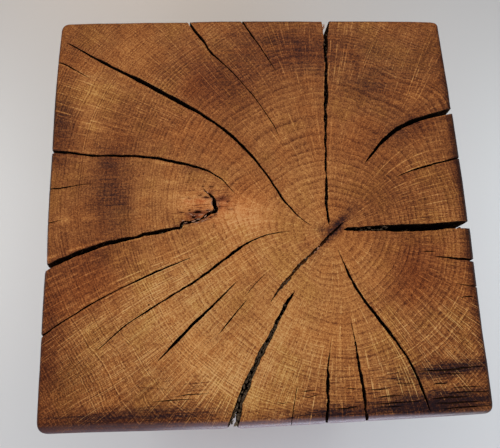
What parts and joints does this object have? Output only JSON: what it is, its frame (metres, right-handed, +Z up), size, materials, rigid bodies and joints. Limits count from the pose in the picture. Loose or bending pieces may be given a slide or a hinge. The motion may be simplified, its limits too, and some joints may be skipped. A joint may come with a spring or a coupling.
{
  "type": "wood block with end grain",
  "caption": "Squared length of oak trunk standing on end, with an oiled end-grain top, a knot, and drying cracks that fan out from the pith and run down its sides.",
  "frame": {"origin": "centre of the underside", "axes": "+Z up along the grain to the end-grain top, +Y towards the back edge, the top edge of the picture, +X towards its right edge"},
  "size_m": [0.3, 0.3008, 0.45],
  "materials": {
    "oiled_oak": "sanded and oiled oak, satin, warm golden brown with darker red-brown and purple-black stains, near black inside the cracks"
  },
  "bodies": {
    "root": {"block": "oiled_oak"}
  },
  "joints": []
}
